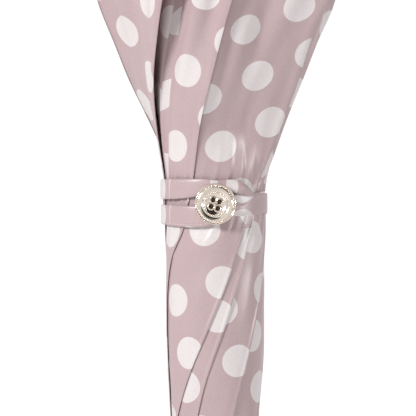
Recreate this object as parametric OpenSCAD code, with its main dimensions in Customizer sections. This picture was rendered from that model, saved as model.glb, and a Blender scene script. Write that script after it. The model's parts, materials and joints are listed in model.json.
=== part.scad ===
// A stick umbrella, furled: ferrule at the bottom, handle at the top.
// +Z runs up the shaft, and the origin is the centre of the ferrule's flat end.
// Rib 1 is at the front, at -Y, and the others follow anticlockwise seen from above.

/* [Shaft] */
// Radius of the steel shaft
shaft_r = 5; // [4.5:0.1:6]
// Wall of the shaft tube
shaft_wall = 0.8; // [0.6:0.1:1.2]
// Height of the rib pivots above the ferrule's end
crown_z = 95; // [90:1:120]
// Height of the crown
crown_h = 12; // [10:0.5:13]
// Wire that the ribs hang on
wire_r = 0.8; // [0.6:0.05:0.9]

/* [Ribs] */
// Length of a rib, from its pivot to its tip
rib_len = 610; // [500:5:720]
// Radius that the rib tips lie on when furled
tip_ring_r = 15; // [13:0.5:18]
// Bow of a rib at its middle
rib_bow = 9; // [6:0.5:11]
// Width of the ribs' channel
rib_w = 3; // [2.8:0.1:3.2]
// Wall of the ribs' channel
rib_wall = 0.6; // [0.5:0.05:0.65]
// Radius of a rib's tip
tip_r = 2.6; // [2.4:0.1:3]
// Angle that the ribs turn through to open
open_deg = 75; // [60:1:80]

/* [Stretchers] */
// Length of a stretcher between its pivots
stretcher_len = 300; // [250:5:310]
// Distance of the stretcher's pivot along the rib
stretcher_at = 280; // [230:5:290]
// Depth of a stretcher
stretcher_d = 2.5; // [2:0.1:2.8]
// Radius of the stretchers' pivot pins
pin_r = 0.8; // [0.7:0.05:0.9]

/* [Runner] */
// Wall of the runner's sleeve
sleeve_wall = 1.75; // [1.2:0.05:2]
// Height of the runner's head
head_h = 13; // [11:0.5:14]
// Length of the runner's sleeve above its head
sleeve_len = 37; // [30:1:44]

/* [Canopy] */
// Thickness of the furled canopy's shell
canopy_t = 1.6; // [1:0.1:1.8]
// Room that the folds take outside the ribs, near the crown
fold_room = 2.4; // [2.3:0.1:3.5]
// Room that the folds add outside the ribs, at the strap
strap_room = 3.9; // [3:0.1:6]
// Growth of the furled canopy's radius with height, above the strap
flare = 0.334; // [0.2:0.01:0.4]
// How far the hem stays below the rib tips
hem_drop = 17; // [12:1:40]

/* [Strap and button] */
// Height of the strap above the rib pivots
strap_up = 385; // [330:5:400]
// Height of the strap's band
band_h = 12; // [9:0.5:14]
// Thickness of the strap
strap_t = 1.1; // [0.8:0.1:1.4]
// Height of each leg of the strap's loop
leg_h = 11.2; // [9:0.1:12]
// Gap between the loop's two legs
leg_gap = 4.8; // [4.6:0.1:6]
// Radius of the button
button_r = 11.75; // [9:0.05:13]
// Thickness of the button
button_t = 4; // [3:0.1:5]
// Radius of the button's four holes
button_hole_r = 1.25; // [0.9:0.05:1.4]
// Distance of the holes from the button's centre
button_hole_at = 2.7; // [2.6:0.05:3.2]

/* [Handle] */
// Radius of the handle
handle_r = 9.5; // [8:0.1:11]
// Straight length of the handle below its crook
handle_len = 120; // [90:1:160]
// Radius of the crook's centre line
crook_r = 36; // [32:0.5:40]
// Length of the crook's free end
crook_end = 22; // [10:1:40]
// Height of the handle's collar
collar_h = 12; // [8:0.5:16]

/* [Ferrule] */
// Radius of the ferrule
ferrule_r = 4.2; // [3.6:0.1:4.6]
// Length of the ferrule's spike
ferrule_len = 42; // [30:1:45]
// Radius of the cap over the canopy's centre
cap_r = 12.4; // [12.2:0.1:14.6]

/* [Hidden] */
$fn = 48;
count = 8;
step_deg = 360 / count;
front = -90;
fit = 0.05;         // fixed parts
run = 0.15;         // sliding and turning parts
clear = 0.3;        // neighbours on different bodies

// The rings that the ribs' and the stretchers' pivots lie on
sleeve_r = shaft_r + run + sleeve_wall;
crown_ring_r = shaft_r + 2.5;
runner_ring_r = sleeve_r + 1.6;
eye_r = runner_ring_r - sleeve_r - 0.1;     // round end of a stretcher, clear of the sleeve

// The ribs' arc, in the plane of the rib and the shaft
chord = norm([tip_ring_r - crown_ring_r, rib_len]);
lean = atan2(tip_ring_r - crown_ring_r, rib_len);
arc_r = (pow(chord, 2) / 4 + pow(rib_bow, 2)) / (2 * rib_bow);
half_arc = asin(chord / 2 / arc_r);
function bow_at(l) = sqrt(pow(arc_r, 2) - pow(l - chord / 2, 2)) - (arc_r - rib_bow);
function rib_point(l) = [
    crown_ring_r + bow_at(l) * cos(lean) + l * sin(lean),
    crown_z - bow_at(l) * sin(lean) + l * cos(lean)
];
function rib_r_at(z) = rib_point(min(max(z - crown_z, 0), rib_len))[0];
function rib_azimuth(i) = front + step_deg * (i - 1);

// The channel's section, measured outward from the line through its pivots
channel_out = 2.1;
channel_in = 1.3;
channel_gap = rib_w - 2 * rib_wall;
tongue_w = channel_gap - 2 * run;
stem = 6;           // from a rib's pivot to the start of its channel
tip_gap = 0.25;     // from the channel's end to the tip
tip_neck = 4;       // height of the tip's neck

// The runner's pivots when furled
joint_at = rib_point(stretcher_at);
runner_z = joint_at[1] + sqrt(pow(stretcher_len, 2) - pow(joint_at[0] - runner_ring_r, 2));
opened_at = [
    crown_ring_r + (joint_at[0] - crown_ring_r) * cos(open_deg) + (joint_at[1] - crown_z) * sin(open_deg),
    crown_z - (joint_at[0] - crown_ring_r) * sin(open_deg) + (joint_at[1] - crown_z) * cos(open_deg)
];
opened_z = opened_at[1] + sqrt(pow(stretcher_len, 2) - pow(opened_at[0] - runner_ring_r, 2));
runner_travel = runner_z - opened_z;
stretcher_lean = atan2(runner_ring_r - joint_at[0], runner_z - joint_at[1]);
sleeve_top = runner_z + head_h / 2 + sleeve_len;
head_r = runner_ring_r + 1.7;
head_low = runner_z - head_h / 2;

// The furled canopy's outer radius at each height
strap_z = crown_z + strap_up;
hem_z = crown_z + rib_len - hem_drop;
canopy_z = crown_z - 8.5;
function smooth(t) = let (u = min(max(t, 0), 1)) u * u * (3 - 2 * u);
function room_at(z) = fold_room + strap_room * smooth((z - strap_z + 180) / 140);
function column_r(z) = rib_r_at(z) + channel_out + room_at(z);
function flare_r(z) = column_r(strap_z) + 1.2 + flare * (z - strap_z - 14);
function canopy_r(z) = z > strap_z + 10 ? max(column_r(strap_z), flare_r(z)) : column_r(z);

// Heights of the rows of the canopy's shell
rows = concat(
    [for (k = [0 : 8]) canopy_z + (strap_z + 10.5 - canopy_z) * k / 8],
    [for (k = [1 : 5]) strap_z + 10.5 + (hem_z - strap_z - 10.5) * k / 5]
);

strap_r = column_r(strap_z) + clear;
loop_r = strap_r + strap_t + 0.2;
button_y = loop_r + strap_t + 0.4;

handle_z = sleeve_top + 18;
grip_z = handle_z + collar_h;
crook_z = handle_z + handle_len;
socket_deep = 30;   // shaft inside the handle

ferrule_top = ferrule_len + 16;
cap_top = canopy_z - clear;
catch_w = 1.8;
catch_h = 11;
catch_in = 1.9;     // inner end of a catch, from the shaft's axis
catch_out = shaft_r + 2.3;
catch_slope = 1.9;
low_catch_z = sleeve_top - runner_travel + 1;
high_catch_z = sleeve_top - 17;
catch_azimuth = front + step_deg / 2;

// A closed shell from two grids of points with the same rows and columns
module grid_shell(outer, inner) {
    n = len(outer);
    m = len(outer[0]);
    points = concat([for (row = outer) each row], [for (row = inner) each row]);
    function at(side, r, c) = side * n * m + r * m + c;
    sides = [
        for (r = [0 : n - 2]) for (c = [0 : m - 2]) each [
            [at(0, r, c), at(0, r + 1, c), at(0, r + 1, c + 1), at(0, r, c + 1)],
            [at(1, r, c), at(1, r, c + 1), at(1, r + 1, c + 1), at(1, r + 1, c)]
        ]
    ];
    ends = [
        for (c = [0 : m - 2]) each [
            [at(0, 0, c), at(0, 0, c + 1), at(1, 0, c + 1), at(1, 0, c)],
            [at(0, n - 1, c + 1), at(0, n - 1, c), at(1, n - 1, c), at(1, n - 1, c + 1)]
        ]
    ];
    edges = [
        for (r = [0 : n - 2]) each [
            [at(0, r + 1, 0), at(0, r, 0), at(1, r, 0), at(1, r + 1, 0)],
            [at(0, r, m - 1), at(0, r + 1, m - 1), at(1, r + 1, m - 1), at(1, r, m - 1)]
        ]
    ];
    faces = concat(sides, ends, edges);
    triangles = [for (f = faces) each [[f[0], f[1], f[2]], [f[0], f[2], f[3]]]];
    polyhedron(points, triangles);
}

// Places a shape, drawn with X outward and Z up from the shaft, at one rib
module at_rib(i) {
    rotate([0, 0, rib_azimuth(i)]) children();
}

// Places a shape at a rib's pivot, with Z along the rib's chord
module on_rib(i) {
    at_rib(i) translate([crown_ring_r, 0, crown_z]) rotate([0, lean, 0]) children();
}

// A round bar across the rib's plane, centred on the origin
module cross_bar(r, w) {
    rotate([90, 0, 0]) cylinder(r = r, h = w, center = true);
}

// Slots for the arms of the crown or the runner, open at the outside
module arm_slots(inside, outside, w, h) {
    for (i = [1 : count]) {
        at_rib(i) translate([inside, -w / 2, 0]) cube([outside - inside, w, h]);
    }
}

module rib(i) {
    color("gainsboro") difference() {
        union() {
            on_rib(i) translate([rib_bow - arc_r, 0, chord / 2]) rotate([90, 0, 0])
                rotate([0, 0, -half_arc + stem / arc_r * 180 / PI])
                    rotate_extrude(angle = 2 * half_arc - stem / arc_r * 180 / PI, $fn = 400)
                        translate([arc_r, 0]) difference() {
                            translate([-channel_in, -rib_w / 2])
                                square([channel_in + channel_out, rib_w]);
                            translate([-channel_in - 1, -channel_gap / 2])
                                square([channel_in + channel_out - rib_wall + 1, channel_gap]);
                        }
            on_rib(i) {
                cross_bar(2, channel_gap);
                translate([-0.9, -channel_gap / 2, 0])
                    cube([2.2, channel_gap, 2 * stem]);
            }
        }
        on_rib(i) cross_bar(wire_r + run, rib_w);
        on_rib(i) translate([bow_at(stretcher_at), 0, stretcher_at])
            cross_bar(pin_r + 0.08, rib_w + 1);
    }
}

module rib_tip(i) {
    color("gold") on_rib(i) translate([0.4, 0, chord]) {
        translate([0, 0, tip_gap]) cylinder(r = tip_r - 0.5, h = tip_neck - tip_gap);
        translate([0, 0, tip_neck + tip_r * 0.8]) sphere(r = tip_r);
    }
}

module stretcher(i) {
    color("silver") difference() {
        at_rib(i) translate([joint_at[0], 0, joint_at[1]]) rotate([0, stretcher_lean, 0]) {
            translate([-stretcher_d / 2, -tongue_w / 2, 0])
                cube([stretcher_d, tongue_w, stretcher_len]);
            cross_bar(stretcher_d / 2, tongue_w);
            cross_bar(pin_r, rib_w + 0.8);
            translate([0, 0, stretcher_len]) cross_bar(eye_r, tongue_w);
        }
        at_rib(i) translate([runner_ring_r, 0, runner_z]) cross_bar(wire_r + run, rib_w);
    }
}

module shaft_tube() {
    top = grip_z + socket_deep;
    color("lightgray") difference() {
        translate([0, 0, ferrule_len + 4]) cylinder(r = shaft_r, h = top - ferrule_len - 4);
        translate([0, 0, ferrule_len]) cylinder(r = shaft_r - shaft_wall, h = top);
        for (z = [low_catch_z, high_catch_z])
            rotate([0, 0, catch_azimuth])
                translate([0, -catch_w / 2 - run, z - 0.5])
                    cube([2 * shaft_r, catch_w + 2 * run, catch_h + 1]);
    }
}

module ferrule() {
    socket_r = shaft_r + fit;
    color("gold") rotate_extrude() polygon([
        [0, 0], [ferrule_r - 1, 0], [ferrule_r, 1], [ferrule_r, ferrule_len - 4],
        [socket_r + 1, ferrule_len - 1], [socket_r + 1, ferrule_top],
        [socket_r, ferrule_top], [socket_r, ferrule_len + 4 - fit], [0, ferrule_len + 4 - fit]
    ]);
}

module canopy_cap() {
    neck_r = shaft_r + 2 * fit + 1;
    wall = 0.8;
    color("gold") rotate_extrude() polygon([
        [neck_r, ferrule_len + 8], [neck_r + wall, ferrule_len + 8],
        [neck_r + wall + 0.6, cap_top - 16], [cap_r, cap_top - 5], [cap_r, cap_top],
        [cap_r - wall, cap_top], [cap_r - wall, cap_top - 4.6], [neck_r, cap_top - 14]
    ]);
}

module crown_washer() {
    color("pink") translate([0, 0, crown_z - crown_h / 2 - 3.5]) difference() {
        cylinder(r = crown_ring_r + 1.6, h = 3);
        translate([0, 0, -1]) cylinder(r = shaft_r + fit, h = 5);
    }
}

module crown() {
    color("gold") difference() {
        translate([0, 0, crown_z - crown_h / 2]) cylinder(r = crown_ring_r + 2, h = crown_h - 1.5);
        cylinder(r = shaft_r + fit, h = 2 * crown_z);
        translate([0, 0, crown_z - 2.6])
            arm_slots(shaft_r + 0.4, 2 * crown_ring_r, channel_gap + 2 * run, crown_h);
        translate([0, 0, crown_z]) rotate_extrude() translate([crown_ring_r, 0])
            circle(r = wire_r + fit, $fn = 24);
    }
}

module crown_wire() {
    color("silver") translate([0, 0, crown_z]) rotate_extrude() translate([crown_ring_r, 0])
        circle(r = wire_r, $fn = 24);
}

module stop_collar() {
    top = head_low - runner_travel - clear;
    color("silver") translate([0, 0, top - 6]) difference() {
        cylinder(r = sleeve_r, h = 6);
        translate([0, 0, -1]) cylinder(r = shaft_r + fit, h = 8);
    }
}

module runner_head() {
    color("gold") translate([0, 0, head_low]) difference() {
        cylinder(r = head_r, h = head_h);
        translate([0, 0, -1]) cylinder(r = sleeve_r + fit, h = head_h + 2);
        translate([0, 0, -1]) arm_slots(sleeve_r - 0.5, 2 * head_r, tongue_w + 4 * run, head_h + 2);
        translate([0, 0, head_h / 2]) rotate_extrude() translate([runner_ring_r, 0])
            circle(r = wire_r + fit, $fn = 24);
    }
}

module runner_sleeve() {
    color("gold") difference() {
        translate([0, 0, head_low])
            cylinder(r = sleeve_r, h = head_h + sleeve_len);
        cylinder(r = shaft_r + run, h = 2 * sleeve_top);
        rotate([0, 0, catch_azimuth]) translate([0, -catch_w / 2 - 0.4, high_catch_z - 0.8])
            cube([2 * sleeve_r, catch_w + 0.8, catch_h + 1.6]);
    }
}

// The wire stops short of the slots, so that the stretchers' inner ends can swing free
module runner_wire() {
    slot_deg = 2 * asin((tongue_w / 2 + 2 * run + fit) / (runner_ring_r - wire_r));
    color("silver") for (i = [1 : count]) {
        translate([0, 0, runner_z]) rotate([0, 0, rib_azimuth(i) + slot_deg / 2])
            rotate_extrude(angle = step_deg - slot_deg) translate([runner_ring_r, 0])
                circle(r = wire_r, $fn = 24);
    }
}

// A sprung wedge in the shaft, with its square face at the bottom
module spring_catch(z) {
    color("silver") rotate([90, 0, catch_azimuth]) translate([0, z, -catch_w / 2])
        linear_extrude(catch_w) polygon([
            [catch_in, 0], [catch_out, 0], [catch_out - catch_slope, catch_h], [catch_in, catch_h]
        ]);
}

module open_catch() {
    spring_catch(low_catch_z);
}

module furled_catch() {
    spring_catch(high_catch_z);
}

module canopy_panel(i) {
    gap = 0.15;     // between neighbouring panels, in millimetres
    columns = 6;
    function ring(z, r) = [
        for (c = [0 : columns]) let (
            edge = gap / r * 180 / PI,
            a = rib_azimuth(i) - step_deg / 2 + edge + (step_deg - 2 * edge) * c / columns
        ) [r * cos(a), r * sin(a), z]
    ];
    color("rosybrown") grid_shell(
        [for (z = rows) ring(z, canopy_r(z))],
        [for (z = rows) ring(z, canopy_r(z) - canopy_t)]
    );
}

// The fabric between rib i and the next one, drawn in between them
module inner_fold(i) {
    t = 0.8;
    bottom = crown_z + 9;
    top = min(hem_z - 2, runner_z + 12);
    heights = [for (k = [0 : 12]) bottom + (top - bottom) * k / 12];
    color("pink") rotate([90, 0, rib_azimuth(i) + step_deg / 2])
        translate([0, 0, -t / 2]) linear_extrude(t) polygon(concat(
            [for (z = heights) [rib_r_at(z) - 1, z]],
            [for (k = [12 : -1 : 0]) [rib_r_at(heights[k]) + channel_out + 0.2, heights[k]]]
        ));
}

// Part of a ring round the furled canopy, from one azimuth to another, with its bottom at z
module ring_part(r, from, to, z, h) {
    rotate([0, 0, from]) rotate_extrude(angle = to - from, $fn = 96)
        translate([r, z]) square([strap_t, h]);
}

module strap_band() {
    color("rosybrown") ring_part(strap_r, front + 6, front + 268, strap_z - band_h / 2, band_h);
}

// Two legs that join past the button's shank
module strap_loop() {
    color("rosybrown") difference() {
        ring_part(loop_r, front - 90, front + 16, strap_z - leg_gap / 2 - leg_h, 2 * leg_h + leg_gap);
        translate([0, 0, strap_z - leg_gap / 2]) difference() {
            cylinder(r = loop_r + 2 * strap_t, h = leg_gap, $fn = 96);
            rotate([0, 0, front + 8]) cube([2 * loop_r, loop_r, 3 * leg_gap], center = false);
        }
    }
}

module button() {
    rim = 1.6;
    dish = 1.3;
    color("goldenrod") translate([0, -button_y, strap_z]) rotate([90, 0, 0]) difference() {
        rotate_extrude() polygon([
            [0, 0], [button_r - 0.8, 0], [button_r, 0.8], [button_r, button_t - 0.6],
            [button_r - 0.6, button_t], [button_r - rim, button_t],
            [button_r - rim - 2.2, button_t - dish], [0, button_t - dish]
        ]);
        for (k = [0 : 3])
            rotate([0, 0, 45 + 90 * k - 17]) translate([button_hole_at, 0, -1])
                cylinder(r = button_hole_r, h = button_t + 2, $fn = 24);
    }
}

module button_shank() {
    color("goldenrod") translate([0, -strap_r - fit, strap_z]) rotate([90, 0, 0])
        cylinder(r = 2, h = button_y - strap_r - 2 * fit);
}

module handle_collar() {
    color("gold") translate([0, 0, handle_z]) difference() {
        union() {
            cylinder(r = handle_r + 0.8, h = collar_h - fit);
            translate([0, 0, collar_h * 0.35]) cylinder(r = handle_r + 1.4, h = collar_h * 0.3);
        }
        translate([0, 0, -1]) cylinder(r = shaft_r + fit, h = collar_h + 2);
    }
}

module handle() {
    color("saddlebrown") difference() {
        union() {
            translate([0, 0, grip_z]) cylinder(r = handle_r, h = crook_z - grip_z);
            translate([crook_r, 0, crook_z]) rotate([90, 0, 0])
                rotate_extrude(angle = 180) translate([crook_r, 0]) circle(r = handle_r);
            translate([2 * crook_r, 0, crook_z - crook_end]) cylinder(r = handle_r, h = crook_end);
        }
        translate([0, 0, grip_z - 1]) cylinder(r = shaft_r + fit, h = socket_deep + 1 + fit);
    }
}

module handle_end_cap() {
    color("gold") translate([2 * crook_r, 0, crook_z - crook_end - fit]) mirror([0, 0, 1])
        rotate_extrude() polygon([
            [0, 0], [handle_r + 0.6, 0], [handle_r + 0.6, 5], [handle_r - 2, 7.5], [0, 8]
        ]);
}

shaft_tube();
ferrule();
canopy_cap();
crown_washer();
crown();
crown_wire();
stop_collar();
handle();
handle_collar();
handle_end_cap();
runner_head();
runner_sleeve();
runner_wire();
open_catch();
furled_catch();
for (i = [1 : count]) {
    rib(i);
    rib_tip(i);
    stretcher(i);
    canopy_panel(i);
    inner_fold(i);
}
strap_band();
strap_loop();
button();
button_shank();
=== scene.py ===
"""A furled stick umbrella in dotted satin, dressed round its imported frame.

Heights along the umbrella are measured from the middle of the strap, azimuths in degrees from the front, to
the right, and small lengths in millimetres. Points become metres when a mesh is made.
"""

import json
import math

import bmesh
import bpy
import numpy as np
from mathutils import Matrix, Vector


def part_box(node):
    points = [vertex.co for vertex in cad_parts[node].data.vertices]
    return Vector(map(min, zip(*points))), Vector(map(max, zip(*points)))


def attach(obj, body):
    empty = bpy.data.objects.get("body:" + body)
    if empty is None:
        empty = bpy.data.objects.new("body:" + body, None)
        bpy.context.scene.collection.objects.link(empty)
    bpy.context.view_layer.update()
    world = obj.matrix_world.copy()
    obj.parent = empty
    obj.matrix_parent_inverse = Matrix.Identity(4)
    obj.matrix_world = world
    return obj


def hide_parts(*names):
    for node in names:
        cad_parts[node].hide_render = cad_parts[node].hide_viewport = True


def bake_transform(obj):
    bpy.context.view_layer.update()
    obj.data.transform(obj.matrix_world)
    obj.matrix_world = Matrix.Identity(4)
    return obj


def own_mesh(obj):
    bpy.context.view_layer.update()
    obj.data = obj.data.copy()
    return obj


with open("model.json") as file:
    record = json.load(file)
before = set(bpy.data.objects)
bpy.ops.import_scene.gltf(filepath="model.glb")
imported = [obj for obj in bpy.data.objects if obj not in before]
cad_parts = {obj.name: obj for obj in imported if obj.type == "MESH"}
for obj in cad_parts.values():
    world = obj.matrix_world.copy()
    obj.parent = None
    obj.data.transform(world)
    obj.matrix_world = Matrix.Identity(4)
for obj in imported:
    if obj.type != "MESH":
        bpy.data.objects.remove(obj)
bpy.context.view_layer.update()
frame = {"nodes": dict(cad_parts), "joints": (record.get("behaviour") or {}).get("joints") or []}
MM = 0.001


# ---------------------------------------------------------------- measures taken from the frame

def middle(node):
    """The centre of a node's box, in millimetres."""
    low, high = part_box(node)
    return (np.array(low) + np.array(high)) / 2 / MM


def joint(name):
    return next(j for j in frame["joints"] if j["name"] == name)


STRAP_Z = middle("strap_band")[2]
CROWN_Z = joint("rib_1_hinge")["pos_m"][2] / MM
PIVOT_R = -joint("rib_1_hinge")["pos_m"][1] / MM
OPEN_DEG = joint("rib_1_hinge")["range_deg"][1]
TIP = middle("rib_tip_1")
RIB_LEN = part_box("rib_1")[1][2] / MM - CROWN_Z
CAP_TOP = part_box("canopy_cap")[1][2] / MM
RIBS = 8


# ---------------------------------------------------------------- small tools

def smooth(t):
    t = np.clip(t, 0, 1)
    return t * t * (3 - 2 * t)


def through(*points):
    """A smooth curve through (x, y) points, level with its neighbours' slope at each."""
    x, y = np.array(sorted(points), float).T
    slope = np.gradient(y, x)

    def at(value):
        value = np.clip(value, x[0], x[-1])
        k = np.clip(np.searchsorted(x, value) - 1, 0, len(x) - 2)
        width = x[k + 1] - x[k]
        t = (value - x[k]) / width
        return (
            y[k] * (1 + 2 * t) * (1 - t) ** 2
            + slope[k] * width * t * (1 - t) ** 2
            + y[k + 1] * t * t * (3 - 2 * t)
            + slope[k + 1] * width * t * t * (t - 1)
        )

    return at


def polar(r, azimuth):
    """X and Y at a radius and an azimuth measured from the front."""
    a = np.radians(azimuth)
    return r * np.sin(a), -r * np.cos(a)


def mesh_object(name, bm, material, smooth_faces=True):
    """An object at the origin from a bmesh."""
    data = bpy.data.meshes.new(name)
    bm.to_mesh(data)
    bm.free()
    for face in data.polygons:
        face.use_smooth = smooth_faces
    piece = bpy.data.objects.new(name, data)
    bpy.context.scene.collection.objects.link(piece)
    data.materials.append(material)
    return piece


def cloth_grid(points, prints):
    """A bmesh sheet from rows of points in millimetres, with its print's place as its UV map."""
    rows, columns = points.shape[:2]
    bm = bmesh.new()
    bmesh.ops.create_grid(bm, x_segments=columns - 1, y_segments=rows - 1, size=0.5, calc_uvs=True)
    uv = bm.loops.layers.uv.verify()
    place = {}
    for vert in bm.verts:
        at = round((vert.co.y + 0.5) * (rows - 1)), round((vert.co.x + 0.5) * (columns - 1))
        place[vert] = at
        vert.co = points[at] * MM
    for face in bm.faces:
        for loop in face.loops:
            loop[uv].uv = prints[place[loop.vert]] * MM
    return bm


def turned_round(line, centre, axis, steps):
    """A closed bmesh, turned from a line of points in metres that meets the axis or closes on itself."""
    bm = bmesh.new()
    verts = [bm.verts.new(point) for point in line]
    edges = [bm.edges.new(pair) for pair in zip(verts, verts[1:])]
    bmesh.ops.spin(bm, geom=verts + edges, cent=centre, axis=axis, angle=2 * math.pi, steps=steps,
                   use_merge=True)
    bmesh.ops.remove_doubles(bm, verts=bm.verts, dist=1e-6)
    bmesh.ops.recalc_face_normals(bm, faces=bm.faces)
    return bm


# ---------------------------------------------------------------- materials

class Value:
    """A node's output that takes part in ordinary arithmetic."""

    def __init__(self, nodes, socket):
        self.nodes, self.socket = nodes, socket

    def math(self, operation, *others):
        return self.nodes.add("ShaderNodeMath", {"operation": operation}, [self, *others])

    def __add__(self, other):
        return self.math("ADD", other)

    def __sub__(self, other):
        return self.math("SUBTRACT", other)

    def __rsub__(self, other):
        return self.nodes.add("ShaderNodeMath", {"operation": "SUBTRACT"}, [other, self])

    def __mul__(self, other):
        return self.math("MULTIPLY", other)

    def __truediv__(self, other):
        return self.math("DIVIDE", other)

    __radd__, __rmul__ = __add__, __mul__


class Nodes:
    """A new material's node tree, with one Principled shader."""

    def __init__(self, name):
        self.material = bpy.data.materials.new(name)
        self.material.use_nodes = True
        self.tree = self.material.node_tree
        self.shader = self.tree.nodes["Principled BSDF"]

    def add(self, kind, settings=None, inputs=(), output=0):
        """A node with its settings, and its inputs by place or by name."""
        node = self.tree.nodes.new(kind)
        for key, value in (settings or {}).items():
            if key == "stops":
                for stop, (place, colour) in zip(self.stops(node, len(value)), value):
                    stop.position, stop.color = place, (*colour, 1)
            else:
                setattr(node, key, value)
        named = inputs.items() if isinstance(inputs, dict) else enumerate(inputs)
        for key, value in named:
            self.feed(node.inputs[key], value)
        return Value(self, node.outputs[output])

    @staticmethod
    def stops(node, count):
        elements = node.color_ramp.elements
        while len(elements) < count:
            elements.new(0.5)
        return list(elements)

    def feed(self, socket, value):
        if isinstance(value, Value):
            self.tree.links.new(value.socket, socket)
        elif value is not None:
            socket.default_value = value

    def set(self, **sockets):
        for key, value in sockets.items():
            self.feed(self.shader.inputs[key.replace("_", " ")], value)
        return self.material

    def coordinates(self, kind="Object"):
        node = self.tree.nodes.new("ShaderNodeTexCoord")
        return Value(self, node.outputs[kind])

    def scaled(self, vector, x, y, z):
        return self.add("ShaderNodeMapping", {}, {"Vector": vector, "Scale": (x, y, z)})

    def noise(self, vector, scale, detail=3.0, rough=0.5):
        return self.add("ShaderNodeTexNoise", {}, {
            "Vector": vector, "Scale": scale, "Detail": detail, "Roughness": rough})

    def between(self, value, low, high, to_low=0.0, to_high=1.0):
        return self.add("ShaderNodeMapRange", {"interpolation_type": "SMOOTHSTEP"}, [
            value, low, high, to_low, to_high])

    def mix(self, share, first, second, blend="MIX"):
        node = self.tree.nodes.new("ShaderNodeMix")
        node.data_type, node.blend_type = "RGBA", blend
        self.feed(node.inputs[0], share)
        for socket, colour in zip((node.inputs[6], node.inputs[7]), (first, second)):
            self.feed(socket, colour if isinstance(colour, Value) else (*colour, 1))
        return Value(self, node.outputs[2])

    def bump(self, height, distance, strength=1.0):
        return self.add("ShaderNodeBump", {}, {
            "Strength": strength, "Distance": distance, "Height": height})


PINK = (0.550, 0.418, 0.430)
PINK_DEEP = (0.470, 0.330, 0.343)
CREAM = (0.80, 0.755, 0.755)
DOT_R = 9.4             # radius of a printed dot
DOT_STEP = 32.0         # side of the dots' square lattice


def satin(name):
    """Dusty pink satin: a fine weave, a soft sheen, and printed cream dots laid out in the UV map."""
    nodes = Nodes(name)
    place = nodes.coordinates("UV")
    solid = nodes.coordinates("Object")
    cloudy = nodes.noise(solid, 28, 4)
    warp = nodes.noise(nodes.scaled(place, 5200, 900, 1), 1, 2)
    weft = nodes.noise(nodes.scaled(place, 700, 3600, 1), 1, 2)
    weave = warp * 0.6 + weft * 0.4
    grain = nodes.noise(solid, 1500, 2)
    colour = nodes.mix(nodes.between(cloudy, 0.3, 0.7), PINK_DEEP, PINK)
    colour = nodes.mix(0.35, PINK, colour)
    edge = nodes.noise(place, 2600, 2) * 0.25
    step = DOT_STEP * MM
    cell = nodes.add("ShaderNodeVectorMath", {"operation": "MODULO"}, [
        nodes.add("ShaderNodeVectorMath", {"operation": "ADD"}, [place, (100 * step, 100 * step, 0)]),
        (step, step, 1)])
    offset = nodes.add("ShaderNodeVectorMath", {"operation": "SUBTRACT"}, [
        cell, (step / 2, step / 2, 0)])
    away = nodes.add("ShaderNodeVectorMath", {"operation": "LENGTH"}, [offset], output=1)
    dot = nodes.between(away / MM + edge, DOT_R + 0.3, DOT_R - 0.1)
    colour = nodes.mix(dot, colour, CREAM)
    colour = nodes.mix(nodes.between(weave, 0.35, 0.75) * 0.12, colour, (0.95, 0.87, 0.85))
    colour = nodes.mix(nodes.between(grain, 0.3, 0.7) * 0.16, colour, (0.55, 0.43, 0.43), "MULTIPLY")
    return nodes.set(
        Base_Color=colour,
        Roughness=0.25 + grain * 0.14,
        Normal=nodes.bump(weave + grain * 0.7, 0.00006, 0.5),
        Sheen_Weight=0.2, Sheen_Roughness=0.4, Sheen_Tint=(1.0, 0.9, 0.9, 1),
        Specular_IOR_Level=0.65, Anisotropic=0.35)


def metal(name, colour, rough, scratch=0.4, wear=0.06):
    """Polished or brushed metal with fine scratches and slight cloudiness."""
    nodes = Nodes(name)
    solid = nodes.coordinates()
    haze = nodes.noise(solid, 90, 4)
    lines = nodes.noise(nodes.scaled(solid, 500, 500, 4500), 1, 3)
    tint = nodes.mix(nodes.between(haze, 0.35, 0.7) * 0.35, colour, [c * 0.86 for c in colour])
    return nodes.set(
        Base_Color=tint, Metallic=1.0,
        Roughness=rough + haze * wear + lines * wear,
        Normal=nodes.bump(lines, 0.000003, scratch))


def lacquered_wood(name):
    """Dark chestnut under a clear coat, with grain along the handle."""
    nodes = Nodes(name)
    solid = nodes.coordinates()
    bent = nodes.noise(solid, 35, 4)
    rings = nodes.noise(nodes.scaled(solid, 380, 380, 26), 1, 5, 0.62)
    pores = nodes.noise(nodes.scaled(solid, 2600, 2600, 160), 1, 2)
    grain = rings * 0.75 + bent * 0.25
    ramp = nodes.add("ShaderNodeValToRGB", {"stops": [
        (0.30, (0.042, 0.013, 0.007)), (0.5, (0.125, 0.045, 0.022)), (0.72, (0.235, 0.098, 0.048))]},
        [grain])
    colour = nodes.mix(nodes.between(pores, 0.62, 0.75) * 0.5, ramp, (0.03, 0.01, 0.006))
    return nodes.set(
        Base_Color=colour, Roughness=0.34 + pores * 0.12, Coat_Weight=0.8, Coat_Roughness=0.08,
        Normal=nodes.bump(grain + pores * 0.4, 0.00008, 0.35))


def thread(name):
    nodes = Nodes(name)
    twist = nodes.noise(nodes.coordinates(), 4200, 2)
    return nodes.set(
        Base_Color=nodes.mix(twist, (0.62, 0.50, 0.47), (0.86, 0.78, 0.74)), Roughness=0.62,
        Sheen_Weight=0.3, Normal=nodes.bump(twist, 0.00008, 0.6))


def felt(name):
    """Dusty pink felt with tangled fibres."""
    nodes = Nodes(name)
    solid = nodes.coordinates()
    fibres = nodes.noise(solid, 1800, 4, 0.7)
    cloudy = nodes.noise(solid, 300)
    return nodes.set(
        Base_Color=nodes.mix(fibres * 0.6 + cloudy * 0.4, PINK_DEEP, PINK), Roughness=0.82 + fibres * 0.12,
        Sheen_Weight=0.5, Normal=nodes.bump(fibres, 0.0002, 0.7))


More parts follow.
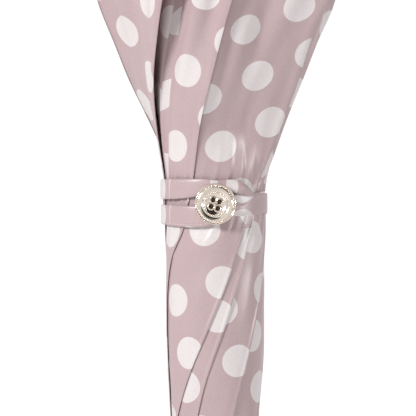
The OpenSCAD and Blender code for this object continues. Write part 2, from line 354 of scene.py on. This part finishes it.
def pale_floor(name):
    nodes = Nodes(name)
    speck = nodes.noise(nodes.coordinates(), 9, 3)
    return nodes.set(
        Base_Color=nodes.mix(speck, (0.86, 0.86, 0.86), (0.90, 0.90, 0.90)), Roughness=0.9)


SATIN = satin("dotted satin")
GOLD = metal("pale gold", (0.90, 0.81, 0.715), 0.07, 0.25, 0.04)
STEEL = metal("plated steel", (0.62, 0.62, 0.63), 0.24, 0.5, 0.12)
WOOD = lacquered_wood("lacquered chestnut")
THREAD = thread("cream thread")
FELT = felt("pink felt")
# Near-black metal for the bottoms of the thread holes: painted shade in the holes.
PAINTED_HOLE_SHADE = metal("painted hole shade", (0.10, 0.075, 0.055), 0.45)


# ---------------------------------------------------------------- camera, light and floor

VIEW_HIGH = 235.0       # height of the umbrella that the camera takes in
CAMERA_BACK = 1150.0
FRONT = 34.0            # the button's face is this far in front of the shaft
CAMERA_X = -4.2
CAMERA_UP = -2.2


def add_camera():
    data = bpy.data.cameras.new("camera")
    data.sensor_width = 36
    data.lens = data.sensor_width * (CAMERA_BACK - FRONT) / VIEW_HIGH
    data.clip_end = 100
    camera = bpy.data.objects.new("camera", data)
    camera.location = Vector((CAMERA_X, -CAMERA_BACK, STRAP_Z + CAMERA_UP)) * MM
    camera.rotation_euler = (math.pi / 2, 0, 0)
    bpy.context.scene.collection.objects.link(camera)
    bpy.context.scene.camera = camera


def add_softbox(name, place, size, watts, colour=(1, 1, 1)):
    data = bpy.data.lights.new(name, "AREA")
    data.shape, data.size, data.energy, data.color = "DISK", size, watts, colour
    light = bpy.data.objects.new(name, data)
    light.location = place
    light.rotation_mode = "QUATERNION"
    light.rotation_quaternion = (Vector((0, 0, STRAP_Z * MM)) - Vector(place)).to_track_quat("-Z", "Y")
    bpy.context.scene.collection.objects.link(light)


def add_world():
    """White behind the umbrella, and a gentler fill on it."""
    world = bpy.data.worlds.new("studio")
    world.use_nodes = True
    tree = world.node_tree
    backdrop = tree.nodes["Background"]
    backdrop.inputs["Color"].default_value = (1, 1, 1, 1)
    backdrop.inputs["Strength"].default_value = 1.05
    fill = tree.nodes.new("ShaderNodeBackground")
    fill.inputs["Color"].default_value = (1.0, 0.925, 0.93, 1)
    fill.inputs["Strength"].default_value = 0.34
    ray = tree.nodes.new("ShaderNodeLightPath")
    mixed = tree.nodes.new("ShaderNodeMixShader")
    bright = tree.nodes.new("ShaderNodeMath")
    bright.operation = "MULTIPLY_ADD"
    bright.inputs[1].default_value = 0.62
    tree.links.new(ray.outputs["Is Glossy Ray"], bright.inputs[0])
    tree.links.new(ray.outputs["Is Camera Ray"], bright.inputs[2])
    tree.links.new(bright.outputs[0], mixed.inputs[0])
    tree.links.new(fill.outputs[0], mixed.inputs[1])
    tree.links.new(backdrop.outputs[0], mixed.inputs[2])
    tree.links.new(mixed.outputs[0], tree.nodes["World Output"].inputs["Surface"])
    bpy.context.scene.world = world


def add_floor():
    bm = bmesh.new()
    bmesh.ops.create_circle(bm, cap_ends=True, segments=96, radius=2.2)
    bmesh.ops.translate(bm, verts=bm.verts, vec=(0, 0, -0.0005))
    mesh_object("floor", bm, pale_floor("pale floor"))


def add_card(name, place, radius):
    """A dark round card, out of view, for the polished metal to reflect."""
    bm = bmesh.new()
    toward = (Vector(place) - Vector((0, 0, STRAP_Z * MM))).to_track_quat("Z", "Y").to_matrix().to_4x4()
    bmesh.ops.create_circle(bm, cap_ends=True, segments=48, radius=radius,
                            matrix=Matrix.Translation(place) @ toward)
    nodes = Nodes(name)
    speck = nodes.noise(nodes.coordinates(), 40)
    nodes.set(Base_Color=nodes.mix(speck, (0.015, 0.012, 0.012), (0.025, 0.022, 0.02)), Roughness=0.9)
    card = mesh_object(name, bm, nodes.material)
    card.visible_camera = False


add_camera()
add_world()
add_floor()
add_card("dark card", (0.185, -0.50, 0.80), 0.32)
add_softbox("key", (-1.3, -1.3, 1.15), 0.45, 27)
add_softbox("side", (1.5, -0.7, 0.6), 0.3, 7)
add_softbox("back", (0.4, 1.5, 1.2), 1.0, 14)
bpy.context.scene.view_settings.view_transform = "Standard"


# ---------------------------------------------------------------- the furled canopy

ARMS = ("left", "middle", "right", "far_right", "back_right", "back", "back_left", "far_left")
BOTTOM_UP = CAP_TOP + 0.5 - STRAP_Z
TOP_UP = 208.0          # the hem, above the strap
FOLDS_DEEP = 5          # how many neighbours each arm winds in under
STEP = 0.75             # from one arm's face to its neighbour's, at the strap

# Azimuth of each arm's fold edge at heights up the umbrella
EDGES = [through(*points) for points in (
    ((-393, -313), (-120, -150), (0, -84), (115, -26), (208, 1)),
    ((-393, -268), (-120, -89), (-68, -76), (-47, -72), (-31, -60), (-16, -40.5), (0, -32), (17, -23.5),
     (45, -12.7), (75, -1.3), (92, 3.5), (115, 9.2), (208, 38)),
    ((-393, -223), (-120, -54.6), (-105, -40), (-72, -8.5), (-35, 20.2), (-16, 33.3), (0, 46), (12, 56),
     (115, 57), (208, 84)),
    ((-393, -178), (-120, -22.4), (-105, -14), (-72, 9.5), (-35, 32.8), (-16, 44.1), (0, 56), (12, 69),
     (115, 100), (208, 127)),
    ((-393, -133), (-120, 24.4), (-105, 32.5), (-72, 51), (0, 95), (115, 145), (208, 172)),
    ((-393, -88), (-120, 75), (0, 140), (115, 190), (208, 217)),
    ((-393, -43), (-120, 120), (0, 185), (115, 232), (208, 259)),
    ((-393, 2), (-120, 165), (0, 225), (115, 283), (208, 312)),
)]
SILHOUETTE = through(
    (-394, 12.1), (-385, 12.4), (-330, 16.2), (-280, 19.2), (-230, 21.5), (-180, 23.4), (-130, 25.5),
    (-105, 26.7), (-89, 27.8), (-72, 28.6), (-35, 28.8), (-16, 29.0), (0, 29.2), (11, 29.5), (17, 30.6),
    (31, 34.4), (45, 38.7), (75, 49.2), (92, 54.8), (115, 64), (170, 81), (208, 90))
# Radius of each arm's fold edge, and of its face where it comes out from under its neighbour, at the flare
EDGE_OUT = (1.03, 0.98, 1.20, 1.09, 1.12, 1.06, 1.09, 1.07)
START_OUT = (1.067, 0.83, 0.914, 0.97, 0.94, 0.875, 0.906, 0.94)
# Across and up from the strap: the middle of one printed dot above the strap and of one below, on each arm
DOTS_AT = (
    ((-37.2, 73), (-37.2, 73)), ((-16.3, 75.4), (-25.7, -15.6)), ((23.5, 73.4), (3.4, -43.3)),
    ((28.6, 24), (1.5, -63.6)), ((12.8, -88.5), (12.8, -88.5)), ((25, -106), (25, -106)), None, None)
PRINT_TURN = math.radians(19.5)
ABOVE_TURN = math.radians(8.5)     # the print leans this much more above the strap
GORE = 2 * math.asin(math.sin(math.radians(OPEN_DEG)) * math.sin(math.pi / RIBS))
TIP_R = float(np.hypot(TIP[0], TIP[1]))
BOW_TOP = -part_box("rib_1")[0][1] / MM - 2.1 - (PIVOT_R + TIP_R) / 2
BOW = BOW_TOP - (TIP_R - PIVOT_R) ** 2 / (16 * BOW_TOP)


def rib_radius(up):
    """Radius of the ribs' pivot line at a height above the strap."""
    share = np.clip((up + STRAP_Z - CROWN_Z) / RIB_LEN, 0, 1)
    return PIVOT_R + (TIP_R - PIVOT_R) * share + BOW * (1 - (2 * share - 1) ** 2)


def core_radius(up):
    """The radius that the canopy's folds are wound round, just outside the fabric between the ribs."""
    return rib_radius(up) + 3.1


def edge_azimuth(arm, up):
    turns, k = divmod(arm, 8)
    return EDGES[k](up) + 360 * turns


def flared(up):
    return np.clip((up - 10) / 105, 0, 1)


def edge_radius(arm, up):
    return SILHOUETTE(up) * (1 + (EDGE_OUT[arm % 8] - 1) * flared(up))


def start_radius(arm, up):
    t = flared(up)
    return SILHOUETTE(up) * (1 + (START_OUT[arm % 8] - 1) * t) - STEP * (1 - t)


def under_edge(arm, up):
    """How far out the next arm lies under an arm's fold edge, as a share of the edge's own way out."""
    core = core_radius(up)
    return (start_radius(arm + 1, up) - core) / (edge_radius(arm, up) - core)


def ripple(arm, across, up):
    """Gentle unevenness of the cloth, in millimetres, from its place across and up an arm."""
    k = arm % 8
    soft = (
        np.sin(across * 0.21 + up * 0.031 + 1.7 * k) * 0.5
        + np.sin(across * 0.37 - up * 0.047 + 0.6 * k) * 0.3
        + np.sin(across * 0.13 + up * 0.092 + 2.3 * k) * 0.28)
    near = np.exp(-np.clip(np.abs(up) - 13, 0, 99) / np.where(up > 0, 20, 8))
    gathers = (np.sin(across * 0.85 + np.sin(up * 0.09 + k) * 1.3 + 2.1 * k)
               + 0.6 * np.sin(across * 1.6 - up * 0.11 + k) - 1.5) * np.where(up > 0, 0.4, 0.25)
    bulge = 0.55 * np.exp(-((np.abs(up) - 21) / 8) ** 2)
    return soft * (0.5 + 2.4 * flared(up)) * (1 - near) + gathers * near + bulge


def face_radius(arm, u, up):
    """Radius of an arm's bare face, u from its neighbour's edge (0) to its own (1)."""
    low, high = start_radius(arm, up), edge_radius(arm, up)
    wide = np.radians(edge_azimuth(arm, up) - edge_azimuth(arm - 1, up))
    round_r = low + (high - low) * u
    flat_r = low * high * np.sin(wide) / (low * np.sin(u * wide) + high * np.sin((1 - u) * wide))
    crease = 3.7 * flared(up) * np.exp(-((u - 0.52) / 0.2) ** 2) * (arm % 8 == 0)
    level = smooth((up - 5) / 45)
    bare = 4 * u * (1 - u)
    fold = 1.0 + 1.8 * flared(up)
    from_fold = (1 - u) * wide * high
    roll = (0.45 + 0.8 * flared(up)) * np.exp(-((from_fold - fold) / fold) ** 2) * np.minimum(u * 5, 1)
    flat = round_r * (1 - level) + flat_r * level
    crease = crease + 5 * flared(up) * np.exp(-(u / 0.2) ** 2) * (arm % 8 == 1)
    return flat - crease + roll + ripple(arm, u * wide * low, up) * bare


def wound(arm, columns, up):
    """Azimuth and radius of an arm's outer layer. A column is (neighbours passed, place across the face)."""
    core = core_radius(up)
    azimuths, radii, lower = [], [], []
    for passed, u in columns:
        over = arm - passed
        share = np.ones_like(up)
        for edge in range(over, arm):
            share = share * under_edge(edge, up)
        low, high = edge_azimuth(over - 1, up), edge_azimuth(over, up)
        azimuths.append(low + (high - low) * u)
        out = face_radius(over, u, up) - core
        radii.append(core + out * share)
        lower.append(core + out * share * under_edge(arm, up))
    return np.array(azimuths).T, np.array(radii).T, np.array(lower).T


def lengths(points):
    """Distance along each row of points, from its first."""
    steps = np.linalg.norm(np.diff(points, axis=1), axis=2)
    return np.concatenate([np.zeros((len(points), 1)), np.cumsum(steps, axis=1)], axis=1)


def place_points(azimuth, radius, up, depth):
    """Points in millimetres. The hem rises from the fold edge to the ribs."""
    x, y = polar(radius, azimuth)
    hem = smooth((up - 150) / (TOP_UP - 150))[:, None] * (-12 + 28 * (depth / FOLDS_DEEP) ** 2)
    return np.stack([x, y, STRAP_Z + up[:, None] + hem], axis=2)


def print_shift(arm, points, prints, up):
    """What brings a dot of the print's lattice to its place, below and above the strap."""
    at = DOTS_AT[arm]
    if at is None:
        return np.zeros((len(up), 1, 2))
    found = []
    for across, high in at:
        row = int(np.argmin(np.abs(up - high)))
        column = int(np.argmin(np.abs(points[row, :, 0] - across)))
        found.append(prints[row, column])
    above, below = found
    below = above + np.remainder(below - above + DOT_STEP / 2, DOT_STEP) - DOT_STEP / 2
    t = smooth((up + 12) / 24)[:, None]
    return -(below * (1 - t) + above * t)[:, None] + DOT_STEP / 2


def row_heights():
    fine = np.arange(-34, 36, 0.8)
    return np.concatenate([np.arange(BOTTOM_UP, -34, 3.2), fine, np.arange(36, TOP_UP + 1, 2.6)])


def furled_arm(arm):
    """One gore of the canopy, folded in half and wound in under its neighbours."""
    up = row_heights()
    bare = [(0, u) for u in 1 - np.linspace(0, 1, 41)[:-1] ** 1.4]
    hidden = [(k, u) for k in range(1, FOLDS_DEEP) for u in np.linspace(1, 0, 7)[:-1]]
    back = [(0, u) for u in (0.995, 0.98, 0.95, 0.9, 0.8, 0.6, 0.4, 0.2)] + hidden
    azimuth, radius, lower = wound(arm, bare + hidden, up)
    outer = place_points(azimuth, radius, up, np.array([k + 1 - u for k, u in bare + hidden]))
    azimuth, radius, lower = wound(arm, back, up)
    around = np.radians(edge_azimuth(arm, up)[:, None] - azimuth) * radius
    thick = (0.35 + 1.6 * flared(up))[:, None]
    turn = np.clip(around / thick, 0, 1)
    inward = np.minimum(0.45 * (radius - lower), thick) * np.sqrt(1 - (1 - turn) ** 2)
    inner = place_points(azimuth, radius - inward, up, np.array([k + 1 - u for k, u in back]))
    out_at, in_at = lengths(outer), lengths(np.concatenate([outer[:, :1], inner], axis=1))[:, 1:]

    edge = outer[:, 0]
    along = outer[:, 0] - outer[:, 1]
    along /= np.linalg.norm(along, axis=1)[:, None]
    rise = np.diff(edge, axis=0)
    sideways = np.sum(rise * along[:-1], axis=1)
    upward = np.sqrt(np.maximum(np.sum(rise ** 2, axis=1) - sideways ** 2, 0))
    zero = int(np.argmin(np.abs(up)))
    edge_x = np.concatenate([[0], np.cumsum(sideways)])
    edge_y = np.concatenate([[0], np.cumsum(upward)])
    edge_x, edge_y = edge_x - edge_x[zero], edge_y - edge_y[zero]

    points = np.concatenate([inner[:, ::-1], outer], axis=1)
    x = np.concatenate([edge_x[:, None] + in_at[:, ::-1], edge_x[:, None] - out_at], axis=1)
    y = np.repeat(edge_y[:, None], x.shape[1], axis=1)
    lean = PRINT_TURN + ABOVE_TURN * smooth((up + 12) / 24)[:, None]
    turned = np.stack([x * np.cos(lean) + y * np.sin(lean), y * np.cos(lean) - x * np.sin(lean)], axis=2)
    shift = print_shift(arm, outer[:, :41], turned[:, len(back):len(back) + 41], up)
    piece = mesh_object("furled_arm_" + ARMS[arm], cloth_grid(points, turned + shift), SATIN)
    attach(piece, "root")
    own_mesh(piece)
    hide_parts(f"canopy_panel_{arm + 1}")
    2 * RIB_LEN * MM * math.sin(GORE / 2)
    RIB_LEN * MM
    return piece


for number in range(8):
    furled_arm(number)


# ---------------------------------------------------------------- fabric between the ribs

NARROW = 2.8            # half the width in which the fabric turns from one rib to the next


def turn_place(w):
    """Where the share w of the turn is reached, from 0 to 1: the inverse of a smooth step."""
    return 0.5 - math.sin(math.asin(1 - 2 * w) / 3)


def web(number):
    """The gore's middle, drawn in between two ribs."""
    mid = math.radians(45 * (number - 1) + 22.5)
    outward = np.array([math.sin(mid), -math.cos(mid), 0])
    aside = np.array([math.cos(mid), math.sin(mid), 0])
    shares = np.linspace(0, 1, 21)
    rows = np.linspace(9, RIB_LEN - 3, 72)
    points, prints = [], []
    for l in rows:
        ends = 1 - 0.065 * smooth((l - 0.8 * RIB_LEN) / (0.2 * RIB_LEN))
        row, marks = [], []
        for w in shares:
            reach = l * (ends + (1 - ends) * (2 * w - 1) ** 2)
            r = float(rib_radius(reach + CROWN_Z - STRAP_Z)) + 2.45
            side = r * math.sin(math.pi / 8)
            across = NARROW * (2 * turn_place(w) - 1)
            if w in (0, 1):
                across = side * (2 * w - 1)
            row.append(outward * r * math.cos(math.pi / 8) + aside * across + (0, 0, CROWN_Z + reach))
            angle = (w - 0.5) * GORE + PRINT_TURN
            marks.append((reach * math.sin(angle) + 7 * number, reach * math.cos(angle)))
        points.append(row)
        prints.append(marks)
    piece = mesh_object(f"gore_middle_{number}", cloth_grid(np.array(points), np.array(prints)), SATIN)
    middle_point = outward * 12 * MM + np.array((0, 0, CROWN_Z * MM))
    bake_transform(piece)
    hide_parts(f"inner_fold_{number}")
    return piece


for number in range(1, 9):
    web(number)


# ---------------------------------------------------------------- strap

STRAP_IN = -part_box("strap_band")[0][1] / MM - 1.1
LOOP_IN = STRAP_IN + 1.3


def strip(name, stations, radius, thick, printed, bulge=None, columns=90, rows=12):
    """A closed strip of doubled satin round the canopy, from stations (azimuth, bottom, top)."""
    azimuth, low, high = np.array(stations, float).T
    place = np.linspace(0, 1, len(azimuth))
    along = np.linspace(0, 1, columns)
    fine = [through(*zip(place, v))(along) for v in (azimuth, low, high)]
    front = [(v / rows, thick / 2) for v in range(rows + 1)]
    section = front + [(t, -thick / 2) for t, _ in front[::-1]] + front[:1]
    points, prints = np.zeros((len(section), columns, 3)), np.zeros((len(section), columns, 2))
    for k, (a, bottom, top) in enumerate(zip(*fine)):
        for v, (t, proud) in enumerate(section):
            up = bottom + (top - bottom) * t
            out = radius + proud + 0.28 * (1 - (2 * t - 1) ** 6) + (bulge(a, t) if bulge else 0)
            px, py = polar(out, a)
            points[v, k] = px, py, STRAP_Z + up
            prints[v, k] = printed(math.radians(a) * radius, up)
    bm = cloth_grid(points, prints)
    bmesh.ops.remove_doubles(bm, verts=bm.verts, dist=1e-7)
    bmesh.ops.holes_fill(bm, edges=[edge for edge in bm.edges if edge.is_boundary])
    bmesh.ops.recalc_face_normals(bm, faces=bm.faces)
    return mesh_object(name, bm, SATIN)


def stitches(name, line, pitch=2.1, length=1.75, radius=0.19):
    """Stitches along a line of points in millimetres, each a short rounded length of thread."""
    line = np.array(line)
    at = np.concatenate([[0], np.cumsum(np.linalg.norm(np.diff(line, axis=0), axis=1))])
    bm = bmesh.new()
    for start in np.arange(0.4, at[-1] - length, pitch):
        ends = [np.array([np.interp(s, at, line[:, k]) for k in range(3)]) for s in (start, start + length)]
        centre, way = (ends[0] + ends[1]) / 2, Vector(ends[1] - ends[0])
        turn = way.to_track_quat("Z", "Y").to_matrix().to_4x4()
        size = Matrix.Diagonal((radius * MM, radius * MM, way.length / 2 * MM, 1))
        bmesh.ops.create_uvsphere(bm, u_segments=6, v_segments=6, radius=1,
                                  matrix=Matrix.Translation(Vector(centre) * MM) @ turn @ size)
    return mesh_object(name, bm, THREAD)


def on_strip(azimuth, up, radius):
    x, y = polar(radius, azimuth)
    return x, y, STRAP_Z + up


def band_print(around, up):
    return around - 21.7 + DOT_STEP / 2, up + 12.2 + DOT_STEP / 2


def upper_print(around, up):
    """A dot at the left end, and one that the turned leg shows a slice of."""
    if around < -30:
        return around + 44.1 + DOT_STEP / 2, up - 8.6 + DOT_STEP / 2
    if around < -3:
        return around, up - 8.6
    if around > 12.3:
        return around, up - 9.5
    return (around - 9.0) * 3 + DOT_STEP / 2, up - 9.5 + DOT_STEP / 2


def lower_print(around, up):
    if around < -30:
        return around + 44.1 + DOT_STEP / 2, up + 6 + DOT_STEP / 2
    return around, up + 6


band = strip(
    "strap_wrap",
    [(-92, -6.0, 6.2), (-135, -6.2, 6.0), (-180, -6.2, 6.0), (-225, -6, 6.2), (-270, -5.6, 7.0),
     (-300, -5.6, 7.2), (-325, -6.6, 6.2), (-345, -6.8, 5.6), (-354, -6.4, 5.4)],
    STRAP_IN + 0.55, 0.9, band_print, columns=150)
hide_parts("strap_band")


def upper_bulge(a, t):
    """The loop's upper leg swells as it turns over beyond the button."""
    over = math.exp(-((a - 27) / 9) ** 2)
    return over * (2.1 * math.sin(math.pi * min(max(t, 0), 1)) + 0.8)


UPPER = [(-90, 2.9, 14.2), (-75, 2.9, 14.4), (-45, 3.0, 14.5), (-24, 4.0, 14.4), (-13, 5.5, 14.4),
         (0, 7.6, 13.4), (12, 8.0, 13.9), (23, 5.8, 13.6), (33, 4.8, 11.0), (43.5, 4.3, 6.4)]
LOWER = [(-90, -11.4, -0.2), (-75, -11.6, -0.3), (-45, -12.8, -0.6), (-24, -13.3, -1.0), (-10, -12.8, -1.3),
         (0, -11.2, -0.5), (10, -7.0, 2.6), (23, -2.0, 5.6), (33, -0.2, 5.0), (43, 3.8, 4.6)]
upper = strip("loop_upper_leg", UPPER, LOOP_IN + 0.75, 0.9, upper_print, upper_bulge)
lower = strip("loop_lower_leg", LOWER, LOOP_IN + 0.45, 0.8, lower_print)
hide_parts("strap_loop")

stitch_lines = (
    ("upper_leg_stitches", "strap_loop", [(a, top - 1.5, LOOP_IN + 1.5) for a, top in (
        (-90, 14.1), (-75, 14.4), (-60, 14.45), (-45, 14.5), (-34, 14.5), (-24, 14.4), (-17, 14.4))]),
    ("lower_leg_stitches", "strap_loop", [(a, low + 1.5, LOOP_IN + 1.2) for a, low in (
        (-90, -11.4), (-75, -11.7), (-60, -12.4), (-45, -12.9), (-34, -13.2), (-24, -13.3), (-15, -13.1),
        (-6, -12.3))]),
    ("band_stitches", "strap", [(a, top - 2.9, STRAP_IN + 1.35) for a, top in (
        (96, 6.9), (82, 6.9), (70, 7.1), (60, 7.2), (50, 6.6))] + [
            (40, 2.6, STRAP_IN + 1.4), (32, -0.2, STRAP_IN + 1.4), (24, -2.2, STRAP_IN + 1.4)]),
)
stitch_pieces = []
for name, body, marks in stitch_lines:
    piece = stitches(name, [on_strip(*mark) for mark in marks])
    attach(piece, body)
    stitch_pieces.append(piece)

for piece, body, size in ((band, "strap", (0.137, 0.0124)), (upper, "strap_loop", (0.074, 0.0108)),
                          (lower, "strap_loop", (0.074, 0.0104))):
    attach(piece, body)
for piece in (upper, lower, *stitch_pieces[:2]):
    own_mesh(piece)
for piece in (band, stitch_pieces[2]):
    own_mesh(piece)


# ---------------------------------------------------------------- button

BUTTON = middle("button")
BUTTON_R = (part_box("button")[1][0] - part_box("button")[0][0]) / 2 / MM
BUTTON_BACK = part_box("button")[1][1] / MM
HOLES = [math.radians(28 + 90 * k) for k in range(4)]
HOLE_RING = 2.75        # from the button's middle to a thread hole's
HOLE_EDGE = 1.38        # where the metal starts to turn down into a hole
HOLE_DEEP = 1.5
LIP_R = 1.62            # radius of the low lip round a hole
LIP_HIGH = 0.38


def button_point(r, angle, out):
    """A point in metres on the button: radius, angle in the button's plane, and height above its back."""
    return Vector((BUTTON[0] + r * math.cos(angle), BUTTON_BACK - out, BUTTON[2] + r * math.sin(angle))) * MM


def hole_depth(x, z):
    """How far in the button's face is drawn at a place, by four thread holes with a low lip round each."""
    depth = 0.0
    for hole in HOLES:
        away = math.hypot(x - HOLE_RING * math.cos(hole), z - HOLE_RING * math.sin(hole))
        depth += HOLE_DEEP * float(smooth((HOLE_EDGE - away) / 0.3))
        depth -= LIP_HIGH * math.exp(-((away - LIP_R) / 0.3) ** 2)
    return depth


def button_face():
    """The button, turned about its axis, with four drawn-in holes whose bottoms take near-black metal as
    painted shade.
    """
    rim = [(0, 0.0), (10.6, 0.0), (11.3, 0.15), (11.72, 0.6), (BUTTON_R, 1.4), (BUTTON_R, 2.7),
           (11.62, 3.4), (11.4, 3.8), (11.15, 3.85), (10.95, 3.6), (10.85, 3.2), (10.7, 3.08), (10.3, 3.2),
           (9.95, 3.32), (9.75, 3.5), (9.5, 3.6), (9.2, 3.56), (8.6, 3.5), (8.0, 3.44), (7.75, 3.36),
           (7.5, 3.18), (7.2, 2.95), (6.6, 2.55), (6.0, 2.2), (5.4, 1.9), (5.2, 1.82)]
    bowl = [(r, 1.2 + 0.62 * (r / 5.2) ** 2) for r in np.linspace(5.05, 0, 40)]
    line = [button_point(r, 0, out) for r, out in rim + bowl]
    bm = turned_round(line, Vector(BUTTON) * MM, (0, 1, 0), 144)
    for vert in bm.verts:
        x, z = vert.co.x / MM - BUTTON[0], vert.co.z / MM - BUTTON[2]
        out = BUTTON_BACK - vert.co.y / MM
        if out > 1 and math.hypot(x, z) < 5.5:
            vert.co.y = (BUTTON_BACK - max(out - hole_depth(x, z), 0.1)) * MM
    piece = mesh_object("button_face", bm, GOLD)
    # Faces low in the holes get the second, near-black material: painted shade at the hole bottoms.
    piece.data.materials.append(PAINTED_HOLE_SHADE)
    for face in piece.data.polygons:
        out = BUTTON_BACK - face.center.y / MM
        face.material_index = int(0.05 < out < 0.75 and math.hypot(
            face.center.x / MM - BUTTON[0], face.center.z / MM - BUTTON[2]) < 5)
    return piece


def beads(name, ring_r, out, bead_r, count):
    bm = bmesh.new()
    for k in range(count):
        place = button_point(ring_r, 2 * math.pi * k / count, out)
        bmesh.ops.create_uvsphere(bm, u_segments=8, v_segments=6, radius=bead_r * MM,
                                  matrix=Matrix.Translation(place))
    return mesh_object(name, bm, GOLD)


def centre_cross():
    """Two raised, pinched bars that cross between the holes."""
    bm = bmesh.new()
    for angle in (HOLES[0] + math.pi / 4, HOLES[1] + math.pi / 4):
        turn = Matrix.Rotation(-angle, 4, "Y")
        size = Matrix.Diagonal((1.9 * MM, 0.42 * MM, 0.55 * MM, 1))
        bmesh.ops.create_icosphere(bm, subdivisions=2, radius=1,
                                   matrix=Matrix.Translation(button_point(0, 0, 1.85)) @ turn @ size)
    return mesh_object("button_cross", bm, GOLD, smooth_faces=False)


button = button_face()
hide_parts("button")
for piece in (button, beads("outer_beads", 10.35, 3.3, 0.42, 50), beads("inner_beads", 6.55, 2.75, 0.38, 40),
              centre_cross()):
    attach(piece, "strap")


# ---------------------------------------------------------------- crown washer

def crown_washer():
    """A felt ring with a pinked edge, between the crown and the canopy."""
    low, high = (np.array(side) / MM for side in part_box("crown_washer"))
    inner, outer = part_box("shaft_tube")[1][0] / MM + 0.3, high[0]
    profile = [(inner, low[2]), (outer - 0.3, low[2]), (outer, low[2] + 0.25), (outer, high[2] - 0.25),
               (outer - 0.3, high[2]), (inner, high[2]), (inner, low[2])]
    bm = turned_round([Vector((r, 0, z)) * MM for r, z in profile], (0, 0, 0), (0, 0, 1), 192)
    for vert in bm.verts:
        r, angle = math.hypot(vert.co.x, vert.co.y) / MM, math.atan2(vert.co.y, vert.co.x)
        if r > outer - 1:
            pinked = 1 - 0.5 * (0.5 + 0.5 * math.cos(32 * angle)) / outer
            vert.co.x, vert.co.y = vert.co.x * pinked, vert.co.y * pinked
    washer = mesh_object("felt_washer", bm, FELT)
    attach(washer, "root")
    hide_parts("crown_washer")


crown_washer()


# ---------------------------------------------------------------- hardware under the canopy

STEEL_NODES = ("shaft", "rib_", "stretcher", "stop", "crown_wire", "runner_wire", "open", "furled")

for name, node in frame["nodes"].items():
    if name.startswith(("canopy_panel", "inner_fold", "strap")) or name in ("button", "crown_washer"):
        continue
    if name == "handle":
        finish_material = WOOD
    elif name.startswith(STEEL_NODES) and not name.startswith("rib_tip"):
        finish_material = STEEL
    else:
        finish_material = GOLD
    node.data.materials.clear()
    node.data.materials.append(finish_material)
